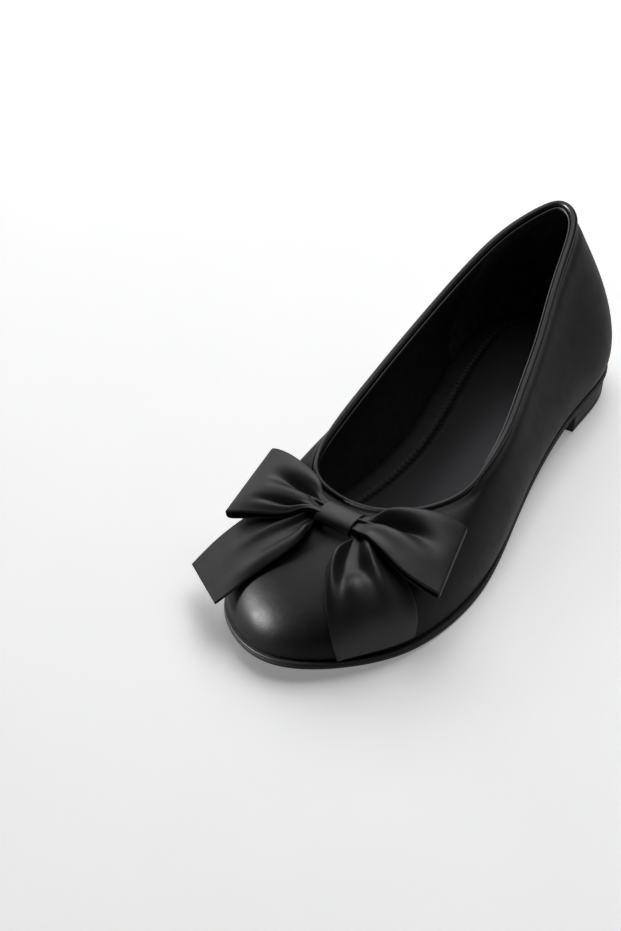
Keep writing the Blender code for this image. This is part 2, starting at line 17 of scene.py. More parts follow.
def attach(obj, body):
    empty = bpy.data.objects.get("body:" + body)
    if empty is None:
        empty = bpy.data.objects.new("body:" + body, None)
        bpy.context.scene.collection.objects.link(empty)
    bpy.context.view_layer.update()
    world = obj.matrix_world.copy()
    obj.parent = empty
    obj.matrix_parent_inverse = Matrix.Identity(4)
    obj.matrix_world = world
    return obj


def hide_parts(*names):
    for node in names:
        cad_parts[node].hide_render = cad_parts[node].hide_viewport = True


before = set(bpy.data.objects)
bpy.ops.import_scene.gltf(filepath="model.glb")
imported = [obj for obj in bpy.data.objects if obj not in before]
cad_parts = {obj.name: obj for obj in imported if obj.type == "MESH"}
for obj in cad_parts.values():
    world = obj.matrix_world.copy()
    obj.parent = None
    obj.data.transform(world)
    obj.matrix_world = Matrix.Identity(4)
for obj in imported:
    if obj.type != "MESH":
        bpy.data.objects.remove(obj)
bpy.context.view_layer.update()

# Outsole and heel
LENGTH = 0.243
BALL_WIDTH = 0.083
HEEL_WIDTH = 0.058
OUTSOLE_THICKNESS = 0.0030
TOE_SPRING = 0.0060
HEEL_HEIGHT = 0.0095
HEEL_LENGTH = 0.055
HEEL_TAPER = 0.0012
HEEL_INSET = 0.0008
SOLE_EDGE_FORE = 0.0012
SOLE_EDGE_HEEL = 0.0003
HEEL_FOOT_ROUND = 0.0006
HEEL_BREAST_HOLLOW = 0.0020

# Upper: heights above the ground of the topline at the back of the heel and at the throat
COLLAR_HEIGHT = 0.0710
THROAT_HEIGHT = 0.0325
WALL = 0.0016

# Insole
INSOLE_HEEL_THICKNESS = 0.0050
INSOLE_TOE_THICKNESS = 0.0035
INSOLE_RIM = 0.0090
INSOLE_RIM_HEEL = 0.0055
INSOLE_PAD_RISE = 0.0007

# Bow: ribbon thickness, the knot's width along the bow and depth across it, the loops' reach from the
# knot's middle, their width and rise, the tails' length and drop, where the bow sits on the vamp, how
# square the knot is seen from the bow's end, and the share of a tail that stays in the knot
RIBBON = 0.0009
KNOT_WIDTH = 0.0154
KNOT_DEPTH = 0.0118
LOOP_REACH_LATERAL = 0.0500
LOOP_REACH_MEDIAL = 0.0440
LOOP_WIDTH = 0.0340
LOOP_RISE = 0.0080
TAIL_LENGTH = 0.0520
TAIL_DROP = 0.0240
BOW_AHEAD = 0.0115
BOW_SIDE = -0.0012
BOW_TURN = math.radians(-8)
KNOT_SQUARENESS = 2.4
TAIL_IN_KNOT = 0.14

# Clearances between pieces that meet
GAP = 0.0003
LAID_GAP = 0.0005
INSOLE_CLEARANCE = 0.0006

# Stations of the sole's profile, as shares of LENGTH
ARCH_START = 0.235
BALL_START = 0.60
SPRING_START = 0.70
WIDTH_BLEND_START = 0.25
INSOLE_RIM_FULL_AT = 0.16

# The upper's sections, heel back to toe tip. foot_at and top_at are stations of the sole edge and of
# the topline; foot_out, foot_in, top_out and top_in are shares of the width at that station, out on
# the lateral side and in on the medial side; climb runs from the throat's height (0) to the collar's
# (1). swell and reach push the wall outward near the foot and near the top, as shares of the width,
# and rise and drop are shares of the wall's height.
SECTION_COLUMNS = ("foot_at", "foot_out", "foot_in", "top_at", "top_out", "top_in", "climb",
                   "swell", "rise", "reach", "drop")
SECTIONS = (
    (0.000, 0.020, 0.020, 0.024, -0.005, -0.005, 1.000, 0.180, 0.30, 0.145, 0.38),
    (0.030, 0.284, -0.267, 0.045, 0.130, -0.138, 0.966, 0.160, 0.30, 0.145, 0.38),
    (0.090, 0.485, -0.468, 0.100, 0.212, -0.264, 0.885, 0.110, 0.30, 0.140, 0.40),
    (0.200, 0.532, -0.500, 0.190, 0.290, -0.372, 0.740, 0.080, 0.30, 0.110, 0.42),
    (0.320, 0.515, -0.425, 0.290, 0.374, -0.463, 0.507, 0.080, 0.32, 0.080, 0.42),
    (0.440, 0.468, -0.350, 0.390, 0.398, -0.462, 0.332, 0.075, 0.34, 0.070, 0.40),
    (0.560, 0.470, -0.385, 0.480, 0.396, -0.440, 0.190, 0.060, 0.38, 0.080, 0.36),
    (0.670, 0.510, -0.475, 0.560, 0.380, -0.422, 0.113, 0.040, 0.45, 0.120, 0.26),
    (0.770, 0.494, -0.515, 0.630, 0.349, -0.408, 0.050, 0.028, 0.58, 0.190, 0.14),
    (0.865, 0.416, -0.505, 0.685, 0.235, -0.337, 0.020, 0.020, 0.72, 0.270, 0.05),
    (0.940, 0.259, -0.380, 0.712, 0.108, -0.211, 0.010, 0.020, 0.80, 0.330, 0.02),
    (1.000, -0.060, -0.060, 0.722, -0.042, -0.042, 0.000, 0.020, 0.84, 0.360, 0.00),
)

# Sections of each loop from the knot out to its fold and back underneath, for the ribbon's rear and
# front edges. out is a share of the loop's reach, ahead of LOOP_WIDTH toward the toe and up of
# LOOP_RISE. The first and last rows lie in the knot, where up is taken from the stack of ribbons.
RIBBON_COLUMNS = ("rear_out", "rear_ahead", "rear_up", "front_out", "front_ahead", "front_up")
LOOP_LATERAL = (
    (0.17, -0.12, None, 0.17, 0.11, None),
    (0.32, -0.28, 0.92, 0.34, 0.18, 0.76),
    (0.54, -0.47, 0.98, 0.55, 0.25, 0.57),
    (0.72, -0.60, 0.72, 0.77, 0.29, 0.10),
    (0.82, -0.65, 0.40, 0.97, 0.22, -0.50),
    (0.84, -0.65, 0.24, 1.00, 0.21, -0.67),
    (0.82, -0.64, 0.08, 0.97, 0.22, -0.84),
    (0.70, -0.58, 0.24, 0.78, 0.28, -0.28),
    (0.54, -0.44, 0.34, 0.56, 0.24, 0.14),
    (0.34, -0.26, 0.38, 0.34, 0.15, 0.36),
    (0.17, -0.12, None, 0.17, 0.11, None),
)
LOOP_MEDIAL = (
    (0.19, -0.12, None, 0.19, 0.11, None),
    (0.36, -0.27, 0.86, 0.36, 0.26, 0.74),
    (0.59, -0.40, 0.90, 0.59, 0.37, 0.52),
    (0.83, -0.49, 0.78, 0.80, 0.43, 0.14),
    (1.00, -0.53, 0.56, 0.93, 0.46, -0.20),
    (1.04, -0.53, 0.40, 0.96, 0.46, -0.36),
    (1.00, -0.52, 0.24, 0.93, 0.46, -0.54),
    (0.80, -0.47, 0.30, 0.80, 0.42, -0.28),
    (0.59, -0.38, 0.34, 0.59, 0.35, 0.04),
    (0.37, -0.26, 0.38, 0.37, 0.25, 0.32),
    (0.19, -0.12, None, 0.19, 0.11, None),
)

# At the rows of either loop, how far its middle is lifted and how deep its two valleys are, shares of
# LOOP_RISE
LOOP_CROWN = (0.00, 0.10, 0.22, 0.16, 0.04, 0.00, 0.00, 0.00, 0.00, 0.00, 0.00)
LOOP_CREASE = (0.00, 0.055, 0.055, 0.025, 0.005, 0.00, 0.00, 0.00, 0.00, 0.00, 0.00)

# Sections of each tail from the knot to its cut end, in the same columns. out and ahead are shares of
# TAIL_LENGTH, and up is a share of TAIL_DROP below the vamp's plane. A tail lies on the vamp where it
# would sink into it.
TAIL_LATERAL = (
    (0.160, -0.065, 0.00, 0.160, 0.070, 0.00),
    (0.260, -0.060, 0.02, 0.185, 0.175, 0.02),
    (0.385, -0.020, 0.10, 0.200, 0.330, 0.10),
    (0.510, 0.070, 0.24, 0.240, 0.490, 0.24),
    (0.650, 0.150, 0.45, 0.350, 0.660, 0.45),
    (0.780, 0.215, 0.70, 0.470, 0.775, 0.68),
    (0.842, 0.279, 0.97, 0.567, 0.821, 0.92),
)
TAIL_MEDIAL = (
    (0.160, -0.065, 0.00, 0.160, 0.070, 0.00),
    (0.280, -0.050, 0.02, 0.120, 0.200, 0.02),
    (0.430, 0.030, 0.10, 0.095, 0.370, 0.10),
    (0.590, 0.130, 0.24, 0.150, 0.560, 0.20),
    (0.730, 0.270, 0.42, 0.250, 0.730, 0.36),
    (0.820, 0.440, 0.58, 0.325, 0.860, 0.44),
    (0.883, 0.642, 0.76, 0.396, 0.988, 0.51),
)

# Mesh density: points round, along or across the pieces
AROUND = 480
UP_WALL = 64
UP_LINING = 44
BEAD_AROUND = 1200
BEAD_SIDES = 20
SOLE_AROUND = 600
SOCK_AROUND = 1440
SOCK_RIBS = 36
RIBBON_ACROSS = 65
LOOP_ALONG = 220
TAIL_ALONG = 180
KNOT_ROUND = 96
KNOT_ALONG = 41
HEEL_SIDE = 90
HEEL_BREAST = 41
TOPLINE_STEPS = 12

# Upper: the pressed groove under the binding, the padding past it, and the tuck where it meets the sole
GROOVE_DOWN = 0.0028
GROOVE_WIDTH = 0.0016
GROOVE_DEPTH = 0.00030
COLLAR_PAD_DOWN = 0.0075
COLLAR_PAD_WIDTH = 0.0035
COLLAR_PAD_RISE = 0.00010
SOLE_TUCK_UP = 0.0009
SOLE_TUCK_DEPTH = 0.0003

# Heel grip: the soft patch inside the back, from the topline down past the seam seen beside the insole
GRIP_TOP_AT = 0.095
GRIP_FOOT_AT = 0.125
GRIP_RISE = 0.0003
GRIP_SEAM_WIDTH = 0.0012

# Binding: the bead, and the lining's folded edge that shows as a thin line inside it
BEAD_WIDTH = 0.0027
BEAD_HEIGHT = 0.0028
BEAD_OUT = 0.0004
BEAD_PITCH = 0.0024
BEAD_PUCKER = 0.00002
LINING_EDGE_WIDTH = 0.0009
LINING_EDGE_IN = 0.0021

# Insole sock: its seam, the puckers along it, lower on the rim's side, and the rings that carry them,
# on the rim as shares of its width and at the seam within a span of seam widths
SEAM_WIDTH = 0.0011
SEAM_DEPTH = 0.0007
PUCKER_PITCH = 0.0026
PUCKER_REACH = 0.0016
PUCKER_RISE = 0.00060
PUCKER_ON_RIM = 0.6
RIM_RINGS = (0.3, 0.5, 0.65)
SEAM_SPAN = (-2.4, 3.4)
SEAM_RINGS = 24
SOCK_CROWN = 0.0006
STITCH_LENGTH = 0.0016
STITCH_WIDTH = 0.0005
STITCH_AHEAD = 0.80
STITCH_ASIDE = 0.60

# Edges of the outsole and the heel block, as (inset, height) from the bottom up. The outsole's heights
# are shares of OUTSOLE_THICKNESS, with a groove round its side; the heel's line is its top lift's.
SOLE_GROOVE_AT = 0.72
SOLE_GROOVE_HALF = 0.10
SOLE_GROOVE_DEPTH = 0.00025
SOLE_PROFILE = ((0.0006, 0.0), (0.0002, 0.06), (0.0, 0.20), (-0.0001, 0.45),
                (0.0, SOLE_GROOVE_AT - SOLE_GROOVE_HALF), (SOLE_GROOVE_DEPTH, SOLE_GROOVE_AT),
                (0.0, SOLE_GROOVE_AT + SOLE_GROOVE_HALF), (0.0001, 0.95), (0.0004, 1.0))
LIFT_HEIGHT = 0.0024
LIFT_GROOVE_HALF = 0.0004
LIFT_GROOVE_DEPTH = 0.0003
HEEL_PROFILE = ((HEEL_FOOT_ROUND, 0.0), (0.0002, 0.0002), (0.0, HEEL_FOOT_ROUND),
                (0.0, LIFT_HEIGHT - LIFT_GROOVE_HALF), (LIFT_GROOVE_DEPTH, LIFT_HEIGHT),
                (0.0, LIFT_HEIGHT + LIFT_GROOVE_HALF), (0.0, HEEL_HEIGHT * 0.6),
                (0.0, HEEL_HEIGHT - 0.0004), (0.0003, HEEL_HEIGHT))
HEEL_SHARP_ANGLE = math.radians(40)

# Folds of the bow, each a soft trough (height below 0) or ridge. They run out from the knot (0) to a
# loop's fold or a tail's cut end (1): starts, peaks and ends are shares of that run; knot_at and end_at
# say where the fold lies across the ribbon, from its rear edge (0) to its front edge (1), at its start
# and its end; knot_half and end_half are its half widths there; height is a share of LOOP_RISE.
FOLD_COLUMNS = ("starts", "peaks", "ends", "knot_at", "end_at", "knot_half", "end_half", "height")
LATERAL_LOOP_FOLDS = (
    (-0.08, 0.18, 0.78, 0.28, 0.50, 0.10, 0.15, -0.85),
    (0.02, 0.20, 0.90, 0.72, 0.66, 0.12, 0.16, 0.06),
    (0.02, 0.22, 0.95, 0.04, 0.10, 0.12, 0.14, 0.16),
    (0.04, 0.20, 0.50, 1.00, 1.00, 0.16, 0.14, 0.10),
)
MEDIAL_LOOP_FOLDS = (
    (-0.08, 0.18, 0.70, 0.29, 0.42, 0.09, 0.14, -0.85),
    (0.02, 0.18, 0.95, 0.06, 0.10, 0.09, 0.13, 0.04),
    (0.02, 0.18, 0.85, 0.60, 0.62, 0.10, 0.13, 0.05),
    (0.00, 0.18, 0.70, 0.80, 0.80, 0.05, 0.06, -0.30),
    (0.00, 0.24, 0.95, 1.00, 1.00, 0.12, 0.14, -0.26),
)
LATERAL_TAIL_FOLDS = (
    (0.15, 0.46, 0.88, 0.90, 0.94, 0.07, 0.13, 0.80),
    (0.22, 0.50, 0.90, 0.42, 0.26, 0.07, 0.13, 0.70),
    (0.54, 0.69, 1.10, 0.62, 0.58, 0.20, 0.34, 0.58),
)
MEDIAL_TAIL_FOLDS = (
    (0.16, 0.28, 0.80, 0.42, 0.46, 0.06, 0.09, 0.36),
    (0.16, 0.32, 0.95, 0.92, 0.88, 0.11, 0.17, 0.56),
)

# Lie of the ribbons: how much of a loop's troughs the layer underneath shares, how near its fold the
# two layers part, how often a taut tail is smoothed, how far a lift over what lies below spreads and
# how often it is smoothed, and the least slope that it allows for
NESTED_SHARE = 0.9
PARTING_SHARE = 0.25
TAIL_SMOOTHING = 40
LIFT_SPREAD = 2
LIFT_SMOOTHING = 10
LEAST_SLOPE = 0.6

# The middle range of a noise texture, which its colours and gloss are spread over
NOISE_LOW = 0.3
NOISE_HIGH = 0.7

# The camera, fitted to the photograph: its bearing round the shoe from the toe towards the lateral
# side, its height above the floor, its roll, the point it looks at, its distance, and its focal length
# in pixels
PHOTO_HEIGHT = 931
CAMERA_AZIMUTH = math.radians(29.94)
CAMERA_ELEVATION = math.radians(36.97)
CAMERA_ROLL = math.radians(-1.70)
CAMERA_TARGET = Vector((-0.0545, -0.0951, 0.0))
CAMERA_DISTANCE = 1.4339
CAMERA_FOCAL_PIXELS = 3600
SENSOR = 36.0

# The view's gamma, and the floor, which glows weakly
VIEW_GAMMA = 0.8
FLOOR_GLOW = 0.31
FLOOR_HALF = 4.0

# Studio lights: name, bearing round the shoe from the toe towards the lateral side and height, both in
# degrees, distance, size, power. The side lamps light neither the floor nor the bow; the bow's leather
# is painted lighter in their stead.
SIDE_LAMPS = (
    ("key_left", -62, 29, 1.5, 0.46, 84.0),
    ("window_right", 118, 18, 2.0, 1.2, 8.0),
)
SOFTBOXES = (
    ("window_left", -112, 20, 2.0, 1.4, 8.0),
    ("window_back", -150, 42, 2.0, 1.4, 16.0),
    ("overhead", 180, 74, 2.2, 1.4, 14.0),
    ("overhead_back", 140, 62, 2.0, 1.6, 8.0),
)


def even_samples(count):
    """Even shares of a closed loop, from 0."""
    return np.arange(count) / count


def shares(count):
    """Even shares from 0 to 1, both ends in."""
    return np.linspace(0.0, 1.0, count)


def between(first, last, share):
    """A share of the way from first to last."""
    return first + (last - first) * share


def ramp(value, start, end):
    """A smooth rise from 0 at start to 1 at end."""
    share = np.clip((np.asarray(value) - start) / (end - start), 0.0, 1.0)
    return share * share * (3.0 - 2.0 * share)


def unit(vectors):
    """Vectors scaled to length 1."""
    return vectors / np.linalg.norm(vectors, axis=-1, keepdims=True)


def run_round(points, axis=0):
    """The direction of closed lines at each point, from the point before to the point after."""
    return np.roll(points, -1, axis=axis) - np.roll(points, 1, axis=axis)


def along(station):
    """The Y of a station."""
    return HEEL_LENGTH / 2 - np.asarray(station) * LENGTH


def station_of(y):
    """The station of a Y."""
    return (HEEL_LENGTH / 2 - np.asarray(y)) / LENGTH


def width_at(station):
    """The width that the section table's side shares follow."""
    return between(HEEL_WIDTH, BALL_WIDTH, ramp(station, WIDTH_BLEND_START, BALL_START))


def sole_underside(station):
    """Height of the outsole's lower face: heel seat, arch, flat forefoot and toe spring."""
    station = np.asarray(station)
    arch = 1.0 - ramp(station, ARCH_START, BALL_START)
    spring = np.clip((station - SPRING_START) / (1.0 - SPRING_START), 0.0, None) ** 2
    return (HEEL_HEIGHT + GAP) * arch + TOE_SPRING * spring


def foot_height(station):
    """Height of the upper's lower edge, just clear of the outsole's top."""
    return sole_underside(station) + OUTSOLE_THICKNESS + GAP


def periodic_curve(knots, points, samples):
    """Smooth closed cubic curve through points at knots; the last knot closes the loop."""
    count = len(points)
    steps = np.diff(knots)
    before = np.roll(steps, 1)
    same = np.eye(count)
    system = (np.diag(2 * (before + steps)) + np.roll(same, -1, axis=1) * before[:, None]
              + np.roll(same, 1, axis=1) * steps[:, None])
    slope = (np.roll(points, -1, axis=0) - points) / steps[:, None]
    bend = np.linalg.solve(system, 6 * (slope - np.roll(slope, 1, axis=0)))
    samples = np.asarray(samples) % knots[-1]
    cell = np.clip(np.searchsorted(knots, samples, side="right") - 1, 0, count - 1)
    step = steps[cell][:, None]
    a = ((knots[cell + 1] - samples)[:, None]) / step
    b = 1.0 - a
    following = (cell + 1) % count
    return (a * points[cell] + b * points[following]
            + ((a ** 3 - a) * bend[cell] + (b ** 3 - b) * bend[following]) * step ** 2 / 6)


def columns(table, names):
    """A table's columns by name, as arrays; None becomes not-a-number."""
    return {name: np.array([row[i] for row in table], dtype=float) for i, name in enumerate(names)}


def loop_points():
    """The section columns as one closed loop, lateral side forward and then medial side back, with
    the sole's edge and the topline in plan at each."""
    half = columns(SECTIONS, SECTION_COLUMNS)
    column = {name: np.concatenate([values, values[-2:0:-1]]) for name, values in half.items()}
    foot_x = np.concatenate([half["foot_out"], half["foot_in"][-2:0:-1]])
    top_x = np.concatenate([half["top_out"], half["top_in"][-2:0:-1]])
    edge = np.column_stack([foot_x * width_at(column["foot_at"]), along(column["foot_at"])])
    top = np.column_stack([top_x * width_at(column["top_at"]), along(column["top_at"])])
    return column, edge, top


def outward(curve):
    """Unit normals that point out of a closed plan curve running lateral side forward first."""
    run = run_round(curve)
    return unit(np.stack([-run[:, 1], run[:, 0]], axis=1))


def edge_knots(edge):
    """Where each point of a closed plan curve lies round it, as shares."""
    steps = np.linalg.norm(np.roll(edge, -1, axis=0) - edge, axis=1)
    return np.concatenate([[0.0], np.cumsum(steps)]) / steps.sum()


def sole_margin(station):
    """How far the outsole stands out past the upper: a little at the forefoot, hardly at the heel."""
    return between(SOLE_EDGE_HEEL, SOLE_EDGE_FORE, ramp(station, BALL_START, SPRING_START))


def sole_edge(samples, inset=0.0):
    """Plan points of the outsole's edge, moved inward by inset."""
    edge = loop_points()[1]
    curve = periodic_curve(edge_knots(edge), edge, samples)
    return curve - outward(curve) * inset


def wall_curves(samples):
    """The control curves of the upper's outer face: foot, lower handle, upper handle, topline."""
    column, edge, top = loop_points()
    knots = edge_knots(edge)
    side = outward(edge)
    foot_plan = edge - side * sole_margin(column["foot_at"])[:, None]
    foot = np.column_stack([foot_plan, foot_height(column["foot_at"])])
    brink = np.column_stack([top, between(THROAT_HEIGHT, COLLAR_HEIGHT, column["climb"])])
    width = width_at(column["foot_at"])
    height = brink[:, 2] - foot[:, 2]
    low = foot + np.column_stack([side * (column["swell"] * width)[:, None],
                                  column["rise"] * height])
    fan = unit(foot_plan - top + side * (HEEL_WIDTH / 3))
    high = brink + np.column_stack([fan * (column["reach"] * width)[:, None],
                                    -column["drop"] * height])
    return [periodic_curve(knots, control, samples) for control in (foot, low, high, brink)]


def wall_outer(count, steps):
    """Grid of points on the upper's outer face: count round it, in steps from foot to topline."""
    foot, low, high, brink = wall_curves(even_samples(count))
    foot[:, 2] = foot_height(station_of(foot[:, 1]))
    level = shares(steps + 1)[:, None, None]
    rest = 1.0 - level
    return (rest ** 3 * foot + 3 * rest ** 2 * level * low + 3 * rest * level ** 2 * high
            + level ** 3 * brink)


def grid_normals(grid):
    """Unit normals of a grid closed along its second axis, pointing outward."""
    return unit(np.cross(np.gradient(grid, axis=0), run_round(grid, axis=1)))


def bell(distance, width):
    """A soft bump, 1 at distance 0 and nearly 0 at two widths."""
    return np.exp(-(distance / width) ** 2)


def fill(tree, node, values):
    """The node with its inputs set to values, or linked where a value is another node's socket."""
    for name, value in values.items():
        if isinstance(value, bpy.types.NodeSocket):
            tree.links.new(value, node.inputs[name])
        elif value is not None:
            node.inputs[name].default_value = value
    return node


def new_material(name, colour, roughness, shine=0.5):
    """A Principled material with its texture coordinates, ready for its grain."""
    material = bpy.data.materials.new(name)
    material.use_nodes = True
    tree = material.node_tree
    shader = fill(tree, tree.nodes["Principled BSDF"], {
        "Base Color": (*colour, 1.0), "Roughness": roughness, "Specular IOR Level": shine})
    place = tree.nodes.new("ShaderNodeTexCoord").outputs["Object"]
    return material, tree, shader, place


def texture(tree, place, kind, sizes):
    """A texture node whose pattern is about sizes across along the three axes."""
    mapping = fill(tree, tree.nodes.new("ShaderNodeMapping"), {
        "Scale": [1 / size for size in sizes], "Vector": place})
    return fill(tree, tree.nodes.new(kind), {"Scale": 1.0, "Vector": mapping.outputs["Vector"]})


def noise(tree, place, size, detail=2.0, stretch=(1, 1, 1)):
    """Noise whose lumps are about size across, stretched along the axes."""
    node = texture(tree, place, "ShaderNodeTexNoise", [size * factor for factor in stretch])
    return fill(tree, node, {"Detail": detail}).outputs["Fac"]


def cells(tree, place, size):
    """The pebbled grain of leather: cells about size across, high in their middles."""
    node = texture(tree, place, "ShaderNodeTexVoronoi", [size] * 3)
    node.feature = "DISTANCE_TO_EDGE"
    return node.outputs["Distance"]


def spread(tree, value, low, high):
    """A noise value spread between low and high."""
    node = fill(tree, tree.nodes.new("ShaderNodeMapRange"), {
        "From Min": NOISE_LOW, "From Max": NOISE_HIGH, "To Min": low, "To Max": high, "Value": value})
    return node.outputs["Result"]


def tint(tree, value, dark, light):
    """A colour between dark and light by a noise value."""
    node = fill(tree, tree.nodes.new("ShaderNodeValToRGB"), {"Fac": value})
    ends = ((NOISE_LOW, dark), (NOISE_HIGH, light))
    for element, (position, colour) in zip(node.color_ramp.elements, ends):
        element.position = position
        element.color = (*colour, 1.0)
    return node.outputs["Color"]


def dress(tree, shader, colour, roughness, layers):
    """Gives the shader its colour, its roughness where that varies, and bumps, each layer a height
    texture and its depth in metres."""
    normal = None
    for height, depth in layers:
        bump = fill(tree, tree.nodes.new("ShaderNodeBump"), {
            "Strength": 1.0, "Distance": depth, "Height": height, "Normal": normal})
        normal = bump.outputs["Normal"]
    fill(tree, shader, {"Base Color": colour, "Roughness": roughness, "Normal": normal})


def smooth_leather(name, dark, light, gloss_low, gloss_high, grain=1.0, shine=0.4):
    """Fine black calf: faint cells and pores, a slightly uneven gloss and colour."""
    material, tree, shader, place = new_material(name, light, gloss_high, shine)
    waves = noise(tree, place, 0.007)
    pebbles = cells(tree, place, 0.0009)
    pores = noise(tree, place, 0.0004)
    dress(tree, shader, tint(tree, noise(tree, place, 0.018, 3.0), dark, light),
          spread(tree, noise(tree, place, 0.006, 3.0), gloss_low, gloss_high),
          [(waves, 0.00010 * grain), (pebbles, 0.000040 * grain), (pores, 0.000010 * grain)])
    return material


def nubuck(name, dark, light):
    """Brushed lining leather: no gloss, mottled by the nap lying both ways."""
    material, tree, shader, place = new_material(name, light, 0.85, 0.15)
    patches = noise(tree, place, 0.003, 4.0)
    nap = noise(tree, place, 0.0005, 3.0)
    dress(tree, shader, tint(tree, noise(tree, place, 0.004, 5.0), dark, light), None,
          [(patches, 0.00015), (nap, 0.00006)])
    return material


def sock_leather(name, dark, light):
    """Insole leather: matte, with fine streaks across the foot."""
    material, tree, shader, place = new_material(name, light, 0.55, 0.22)
    streaks = noise(tree, place, 0.0012, 3.0, stretch=(14, 1, 4))
    pebbles = cells(tree, place, 0.0008)
    dress(tree, shader, tint(tree, streaks, dark, light), spread(tree, streaks, 0.48, 0.60),
          [(streaks, 0.00006), (pebbles, 0.000020)])
    return material


def sole_rubber(name, dark, light, roughness):
    """Moulded rubber: matte and dark with a fine speckle."""
    material, tree, shader, place = new_material(name, light, roughness)
    patches = noise(tree, place, 0.002, 3.0)
    speckle = noise(tree, place, 0.0006, 3.0)
    dress(tree, shader, tint(tree, noise(tree, place, 0.003, 4.0), dark, light),
          spread(tree, patches, roughness - 0.06, roughness + 0.06), [(speckle, 0.00004)])
    return material


def pale_floor(name):
    """Nearly white paper that glows weakly."""
    dark, light = (0.885, 0.885, 0.89), (0.90, 0.90, 0.905)
    material, tree, shader, place = new_material(name, light, 0.8)
    dress(tree, shader, tint(tree, noise(tree, place, 0.05), dark, light), None,
          [(noise(tree, place, 0.0015), 0.00004)])
    fill(tree, shader, {"Emission Color": (1.0, 1.0, 1.0, 1.0), "Emission Strength": FLOOR_GLOW})
    return material


def add_object(name, data):
    """An object with its data, in the scene."""
    thing = bpy.data.objects.new(name, data)
    bpy.context.collection.objects.link(thing)
    return thing


def add_piece(name, points, faces, materials, slot, node=None, slots=None):
    """A piece of the shoe from points and faces, smooth and faced outward, on the one body; slots
    gives each face its material."""
    mesh = bpy.data.meshes.new(name)
    mesh.from_pydata(np.asarray(points).tolist(), [], faces)
    if slots is not None:
        mesh.polygons.foreach_set("material_index", slots)
    work = bmesh.new()
    work.from_mesh(mesh)
    bmesh.ops.recalc_face_normals(work, faces=work.faces)
    work.to_mesh(mesh)
    work.free()
    mesh.shade_smooth()
    for material in materials:
        mesh.materials.append(material)
    piece = add_object(name, mesh)
    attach(piece, "root")
    if node:
        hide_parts(node)
    return piece


def ring_faces(first, second, count):
    """Quads between two closed rings that start at the given point numbers."""
    return [(first + i, first + (i + 1) % count, second + (i + 1) % count, second + i)
            for i in range(count)]


def stack_faces(levels, count):
    """Quads up the side of a stack of closed rings."""
    faces = []
    for level in range(levels - 1):
        faces += ring_faces(level * count, (level + 1) * count, count)
    return faces


def strip_faces(rows):
    """Faces between rows of point numbers; a corner that two rows share is taken once."""
    return [tuple(dict.fromkeys((near[i], near[i + 1], far[i + 1], far[i])))
            for near, far in zip(rows, rows[1:]) for i in range(len(near) - 1)]


def ring_halves(start, count):
    """Point numbers of a ring's lateral and of its medial half, both from its first point."""
    half = range(count // 2 + 1)
    return [start + i for i in half], [start + (count - i) % count for i in half]


def numbered_rows(start, rows, across):
    """Point numbers of a grid, row by row."""
    return np.arange(start, start + rows * across).reshape(rows, across).tolist()


def closed_grid(grid):
    """Points and faces of a grid that closes along both of its axes."""
    rows, count = grid.shape[:2]
    faces = stack_faces(rows, count) + ring_faces((rows - 1) * count, 0, count)
    return grid.reshape(-1, 3), faces


def stacked_rings(rings):
    """Points and faces of a solid of rings given from the bottom up, closed by ribs at both ends."""
    levels, count = len(rings), len(rings[0])
    faces = strip_faces(ring_halves(0, count)) + stack_faces(levels, count)
    faces += strip_faces(ring_halves((levels - 1) * count, count))
    return np.concatenate(rings), faces


def run_along(grid):
    """How far each point of a grid lies along its column, from the first row."""
    steps = np.linalg.norm(np.diff(grid, axis=0), axis=2)
    return np.concatenate([np.zeros((1, grid.shape[1])), np.cumsum(steps, axis=0)])


def loop_run(ring):
    """How far each point of a closed ring lies round it, and the ring's whole length."""
    steps = np.linalg.norm(np.roll(ring, -1, axis=0) - ring, axis=1)
    return np.concatenate([[0.0], np.cumsum(steps)[:-1]]), steps.sum()


def build_upper(leather, lining, grip):
    """The outer leather and its lining as one wall, with the groove and padding under the binding
    outside and the heel grip inside."""
    outer = wall_outer(AROUND, UP_WALL)
    normals = grid_normals(outer)
    up = run_along(outer)
    down = up[-1] - up
    swell = (COLLAR_PAD_RISE * bell(down - COLLAR_PAD_DOWN, COLLAR_PAD_WIDTH)
             - GROOVE_DEPTH * bell(down - GROOVE_DOWN, GROOVE_WIDTH)
             - SOLE_TUCK_DEPTH * bell(up, SOLE_TUCK_UP))
    face = outer + normals * swell[:, :, None]
    face[0, :, 2] = outer[0, :, 2]
    plain = wall_outer(AROUND, UP_LINING)
    plain_normals = grid_normals(plain)
    inner = plain - plain_normals * WALL
    inner[0, :, 2] = foot_height(station_of(inner[0, :, 1]))
    front = between(GRIP_FOOT_AT, GRIP_TOP_AT, shares(UP_LINING + 1)[:, None] ** 2)
    samples = even_samples(AROUND)
    inside = (front - np.minimum(samples, 1 - samples)) * loop_run(inner[0])[1]
    padding = GRIP_RISE * (ramp(inside, 0.0, GRIP_SEAM_WIDTH)
                           + bell(inside - GRIP_SEAM_WIDTH, GRIP_SEAM_WIDTH))
    inner[1:] -= (plain_normals * padding[:, :, None])[1:]
    grid = np.concatenate([face, inner[::-1]])
    points, faces = closed_grid(grid)
    slots = np.zeros((len(grid), AROUND), int)
    slots[UP_WALL:UP_WALL + UP_LINING + 1] = np.where(inside[::-1] > 0, 2, 1)
    add_piece("upper_leather", points, faces, [leather, lining, grip], "leather_upper", "upper",
              slots.ravel())


def topline(count):
    """The topline's seat for the binding: its middle, the direction outward and the direction up."""
    outer = wall_outer(count, TOPLINE_STEPS)
    across = grid_normals(outer)[-1]
    rise = outer[-1] - outer[-2]
    rise = unit(rise - across * (rise * across).sum(axis=1, keepdims=True))
    centre = outer[-1] - across * WALL / 2 + rise * (BEAD_HEIGHT / 2 + GAP)
    return centre, across, rise


